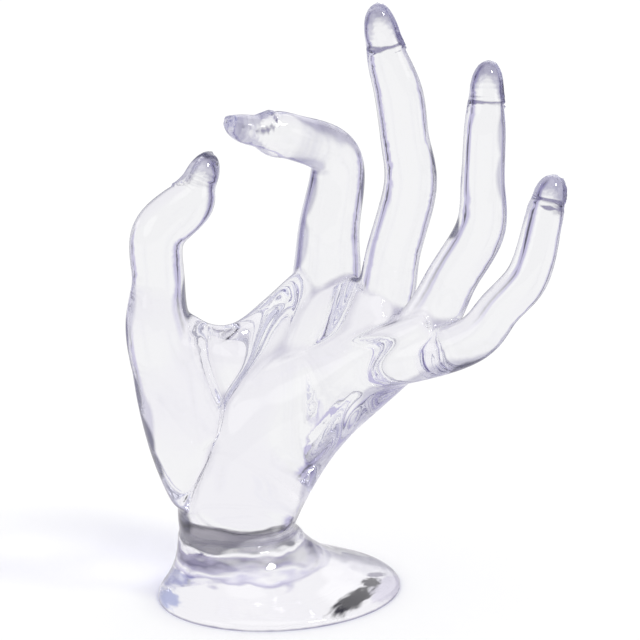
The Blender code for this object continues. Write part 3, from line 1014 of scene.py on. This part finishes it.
def card_sides(tree, vector, scale, studio):
    """White at the four sides, with lilac and narrow dark cards of ragged edge at the corners between."""
    apart, noise = new_node(tree, "ShaderNodeSeparateXYZ"), noise_on(tree, vector, scale)
    tree.links.new(vector, apart.inputs["Vector"])
    turn = reckoned(tree, "ARCTAN2", apart.outputs["X"], apart.outputs["Y"])
    # 0 at a side, 0.5 at a corner.
    corner = reckoned(tree, "PINGPONG", reckoned(tree, "MULTIPLY", turn, 2 / math.pi), 0.5)
    corner = uneven(tree, corner, noise.outputs["Fac"], SIDE_RAGGED)
    white, card, dark = (1, 1, 1), tuple(studio.card), tuple(studio.dark_card)
    return colour_ramp(tree, corner, (0.0, white), (0.36, white), (0.42, card), (0.46, card), (0.50, dark))


def floor_material(studio):
    """Pale floor, white where no shadow falls, with a painted shadow right beside what stands on it. Clear
    things see its cards, and painted caustic shade and painted lilac refraction under the foot."""
    material, tree, output = new_material("studio_floor")
    diffuse = new_node(tree, "ShaderNodeBsdfDiffuse")
    # Painted shadow: ambient occlusion darkens the floor's colour beside the foot.
    open_sky = new_node(tree, "ShaderNodeAmbientOcclusion", samples=8)
    open_sky.inputs["Distance"].default_value = studio.contact_shade_reach
    lit = blended(tree, open_sky.outputs["AO"], (*studio.contact_shade, 1), (*studio.floor, 1))
    tree.links.new(lit, diffuse.inputs["Color"])
    glow = new_node(tree, "ShaderNodeEmission")
    glow.inputs["Color"].default_value = (1, 1, 1, 1)
    glow.inputs["Strength"].default_value = studio.floor_glow
    both = new_node(tree, "ShaderNodeAddShader")
    tree.links.new(diffuse.outputs["BSDF"], both.inputs[0])
    tree.links.new(glow.outputs["Emission"], both.inputs[1])

    place = new_node(tree, "ShaderNodeTexCoord").outputs["Object"]
    reached = mapped(tree, length_of(tree, place), *CARDS_REACH)
    drawn = blended(tree, reached, (*FLOOR_SEEN, 1), card_sides(tree, place, FLOOR_GRAIN, studio))
    # Painted caustic shade and painted lilac refraction under the foot.
    for (x, y), (length, width), turn, colour in SHADE_AND_LILAC_PATCHES:
        patch = new_node(tree, "ShaderNodeMapping", vector_type="TEXTURE")
        patch.inputs["Location"].default_value = (x * MM, y * MM, 0)
        patch.inputs["Rotation"].default_value = (0, 0, math.radians(turn))
        patch.inputs["Scale"].default_value = (length * MM, width * MM, 1)
        tree.links.new(place, patch.inputs["Vector"])
        noise = noise_on(tree, patch.outputs["Vector"], PATCH_GRAIN)
        away = length_of(tree, patch.outputs["Vector"])
        away = uneven(tree, away, noise.outputs["Fac"], PATCH_RAGGED)
        drawn = blended(tree, mapped(tree, away, *PATCH_EDGE), drawn, (*colour, 1))
    seen = new_node(tree, "ShaderNodeEmission")
    tree.links.new(drawn, seen.inputs["Color"])
    mix = through_clear(tree, both.outputs["Shader"], seen.outputs["Emission"])
    tree.links.new(mix, output.inputs["Surface"])
    return material


def studio_world(studio):
    """Even white light. Clear things see pale sides, with lilac and narrow dark cards at the corners."""
    world = bpy.data.worlds.new("studio")
    world.use_nodes = True
    tree = world.node_tree
    tree.nodes.clear()
    output = new_node(tree, "ShaderNodeOutputWorld")
    place = new_node(tree, "ShaderNodeTexCoord").outputs["Generated"]
    apart, noise = new_node(tree, "ShaderNodeSeparateXYZ"), noise_on(tree, place, TOP_GRAIN)
    tree.links.new(place, apart.inputs["Vector"])
    level = uneven(tree, apart.outputs["Z"], noise.outputs["Fac"], TOP_RAGGED)
    white, card = (1, 1, 1), tuple(studio.card)
    above = colour_ramp(tree, level, (0.0, white), (0.46, white), (0.54, card), (1.0, card))
    seen = blended(tree, 1.0, card_sides(tree, place, SIDE_GRAIN, studio), above, "MULTIPLY")

    boxes = 0.0
    for way, near, far in SOFT_BOXES:
        toward = new_node(tree, "ShaderNodeVectorMath", operation="DOT_PRODUCT")
        toward.inputs[1].default_value = Vector(way).normalized()
        tree.links.new(place, toward.inputs[0])
        box = mapped(tree, toward.outputs["Value"], math.cos(math.radians(far)), math.cos(math.radians(near)))
        boxes = reckoned(tree, "MAXIMUM", boxes, box)
    path = new_node(tree, "ShaderNodeLightPath")
    mirrored = blended(tree, boxes, (*studio.mirrored, 1), (SOFT_BOX_GLOW, SOFT_BOX_GLOW, SOFT_BOX_GLOW, 1))
    seen = blended(tree, path.outputs["Is Transmission Ray"], mirrored, seen)

    cards, plain = new_node(tree, "ShaderNodeBackground"), new_node(tree, "ShaderNodeBackground")
    tree.links.new(seen, cards.inputs["Color"])
    fill = (studio.fill, studio.fill, studio.fill, 1)
    tree.links.new(blended(tree, path.outputs["Is Camera Ray"], fill, (1, 1, 1, 1)), plain.inputs["Color"])
    mix = through_clear(tree, plain.outputs["Background"], cards.outputs["Background"])
    tree.links.new(mix, output.inputs["Surface"])
    return world


# Operators


class HANDSTAND_OT_resin(bpy.types.Operator):
    """Makes the cast hand and its foot as one clear piece"""

    bl_idname = "handstand.resin"
    bl_label = "Clear hand"

    def execute(self, context):
        piece = linked(PIECE, cast_mesh(context.scene.hand_sizes))
        piece.data.materials.append(clear_resin(context.scene.resin_look))
        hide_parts("hand_stand")
        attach(piece, "root")
        return {"FINISHED"}


class HANDSTAND_OT_studio(bpy.types.Operator):
    """Makes the floor, the light and the camera"""

    bl_idname = "handstand.studio"
    bl_label = "Studio"

    def execute(self, context):
        studio = context.scene.studio_look
        bm = bmesh.new()
        bmesh.ops.create_circle(bm, cap_ends=True, segments=96, radius=FLOOR_RADIUS)
        mesh = bpy.data.meshes.new("studio_floor")
        bm.to_mesh(mesh)
        bm.free()
        mesh.transform(((1, 0, 0, 0), (0, 1, 0, 0), (0, 0, 1, -FLOOR_DROP), (0, 0, 0, 1)))
        floor = linked("studio_floor", mesh)
        mesh.materials.append(floor_material(studio))
        context.scene.world = studio_world(studio)
        self.add_sun(studio)
        self.add_camera(context, studio)
        context.scene.view_settings.view_transform = "Standard"
        return {"FINISHED"}

    def add_sun(self, studio):
        """A soft lamp at the right that draws the shadow to the left."""
        sun = bpy.data.lights.new("sun", "SUN")
        sun.energy = studio.sun
        sun.angle = SUN_SPREAD
        obj = linked("sun", sun)
        obj.rotation_mode = "QUATERNION"
        obj.rotation_quaternion = Vector(SUN_WAY).to_track_quat("-Z", "Y")

    def add_camera(self, context, studio):
        """A camera at the photograph's angle."""
        back = Vector((0, -math.cos(studio.elevation), math.sin(studio.elevation)))
        camera = bpy.data.cameras.new("camera")
        camera.sensor_width = 36.0
        camera.lens = studio.lens
        obj = linked("camera", camera)
        obj.location = Vector(studio.target) + back * studio.distance
        obj.rotation_mode = "QUATERNION"
        obj.rotation_quaternion = (-back).to_track_quat("-Z", "Y")
        context.scene.camera = obj


class HANDSTAND_PT_panel(bpy.types.Panel):
    """Lists the stand's makers and sizes"""

    bl_label = "Hand Stand"
    bl_idname = "HANDSTAND_PT_panel"
    bl_space_type = "VIEW_3D"
    bl_region_type = "UI"
    bl_category = "Hand Stand"

    def draw(self, context):
        for maker in OPERATORS:
            self.layout.operator(maker.bl_idname)
        for group in (context.scene.hand_sizes, context.scene.resin_look, context.scene.studio_look):
            box = self.layout.box()
            for name in group.bl_rna.properties.keys():
                if name not in ("rna_type", "name"):
                    box.prop(group, name)


OPERATORS = (HANDSTAND_OT_studio, HANDSTAND_OT_resin)
GROUPS = {"hand_sizes": StandSizes, "resin_look": ResinLook, "studio_look": StudioLook}


def register():
    for entry in (*GROUPS.values(), *OPERATORS, HANDSTAND_PT_panel):
        bpy.utils.register_class(entry)
    for name, group in GROUPS.items():
        setattr(bpy.types.Scene, name, bpy.props.PointerProperty(type=group))


def unregister():
    for name in GROUPS:
        delattr(bpy.types.Scene, name)
    for entry in reversed((*GROUPS.values(), *OPERATORS, HANDSTAND_PT_panel)):
        bpy.utils.unregister_class(entry)


def main():
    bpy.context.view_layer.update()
    register()
    bpy.ops.handstand.studio()
    bpy.ops.handstand.resin()


if __name__ == "__main__":
    main()
